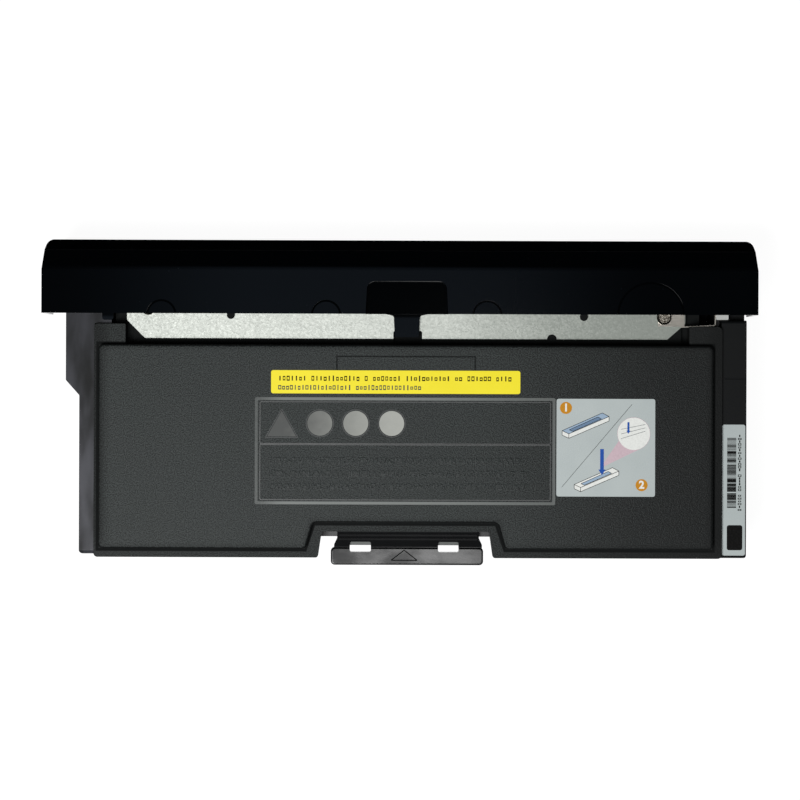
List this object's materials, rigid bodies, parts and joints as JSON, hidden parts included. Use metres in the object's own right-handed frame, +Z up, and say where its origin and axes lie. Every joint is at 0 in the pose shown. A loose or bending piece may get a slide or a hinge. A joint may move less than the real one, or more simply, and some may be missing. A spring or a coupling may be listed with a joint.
{
  "type": "toner cartridge",
  "caption": "Toner cartridge with hopper, developer roller, blade bracket, gear train, grip handle and clip-on protective cover.",
  "frame": {"origin": "middle of the base of the whole cartridge, on the surface it lies on", "axes": "+X along the rollers, +Y towards the developer roller and cover, +Z up to the label side"},
  "size_m": [0.3226, 0.1478, 0.0562],
  "materials": {
    "base_plastic": "satin",
    "lid_plastic": "fine grained",
    "frame_plastic": "satin",
    "gloss_black": "gloss",
    "galvanised": "zinc coated",
    "spring_steel": "bright",
    "blade_rubber": "matt",
    "screw_steel": "nickel",
    "shaft_steel": "ground",
    "roller_rubber": "matt",
    "grey_acetal": "satin",
    "black_acetal": "satin",
    "foam": "matt",
    "film": "gloss",
    "gear_acetal": "satin",
    "agitator_plastic": "satin",
    "yellow_paper": "semi gloss",
    "white_paper": "semi gloss"
  },
  "bodies": {
    "housing": {"hopper_base": "base_plastic", "hopper_lid": "lid_plastic", "left_end_frame": "frame_plastic", "right_end_frame": "frame_plastic", "frame_screws": "screw_steel", "fill_cap": "base_plastic", "blade_bracket": "galvanised", "blade_spring_sheet": "spring_steel", "blade_rubber_bead": "blade_rubber", "blade_foam_seal": "foam", "bracket_screws": "screw_steel", "contact_strip": "spring_steel", "electrode_block": "grey_acetal", "left_roller_bush": "black_acetal", "right_roller_bush": "black_acetal", "supply_bushes": "black_acetal", "shaft_seals": "foam", "end_seals": "foam", "lower_seal_film": "film", "grip_handle": "gloss_black", "yellow_label": "yellow_paper", "steps_label": "white_paper", "serial_label": "white_paper"},
    "developer_roller": {"developer_shaft": "shaft_steel", "developer_sleeve": "roller_rubber", "spacer_rings": "grey_acetal", "developer_gear": "gear_acetal"},
    "supply_roller": {"supply_shaft": "shaft_steel", "supply_foam": "foam", "supply_gear": "gear_acetal"},
    "drive_coupling": {"drive_gear": "gear_acetal"},
    "front_stirrer": {"front_agitator": "agitator_plastic", "front_agitator_film": "film", "front_agitator_gear": "gear_acetal"},
    "idler": {"idler_gear": "gear_acetal"},
    "rear_stirrer": {"rear_agitator": "agitator_plastic", "rear_agitator_film": "film", "rear_agitator_gear": "gear_acetal"},
    "cover": {"protective_cover": "gloss_black"}
  },
  "joints": [
    {"name": "developer_spin", "type": "hinge", "parent": "housing", "child": "developer_roller", "pos_m": [0, 0.05, 0.027], "axis": [1, 0, 0], "continuous": true},
    {"name": "supply_spin", "type": "hinge", "parent": "housing", "child": "supply_roller", "pos_m": [0, 0.03446, 0.01975], "axis": [1, 0, 0], "continuous": true},
    {"name": "drive_spin", "type": "hinge", "parent": "housing", "child": "drive_coupling", "pos_m": [0, 0.02798, 0.03655], "axis": [1, 0, 0], "continuous": true},
    {"name": "front_stirrer_spin", "type": "hinge", "parent": "housing", "child": "front_stirrer", "pos_m": [0, 0.00637, 0.025], "axis": [1, 0, 0], "continuous": true},
    {"name": "idler_spin", "type": "hinge", "parent": "housing", "child": "idler", "pos_m": [0, -0.01563, 0.025], "axis": [1, 0, 0], "continuous": true},
    {"name": "rear_stirrer_spin", "type": "hinge", "parent": "housing", "child": "rear_stirrer", "pos_m": [0, -0.03763, 0.025], "axis": [1, 0, 0], "continuous": true},
    {"name": "cover_lift", "type": "slide", "parent": "housing", "child": "cover", "axis": [0, 0, 1], "range_m": [0, 0.06]}
  ],
  "couplings": [
    {"joint": "drive_spin", "follows": "developer_spin", "ratio": -1.1818},
    {"joint": "supply_spin", "follows": "developer_spin", "ratio": 1.6545},
    {"joint": "front_stirrer_spin", "follows": "developer_spin", "ratio": 0.88636},
    {"joint": "idler_spin", "follows": "developer_spin", "ratio": -1.5511},
    {"joint": "rear_stirrer_spin", "follows": "developer_spin", "ratio": 0.88636}
  ]
}
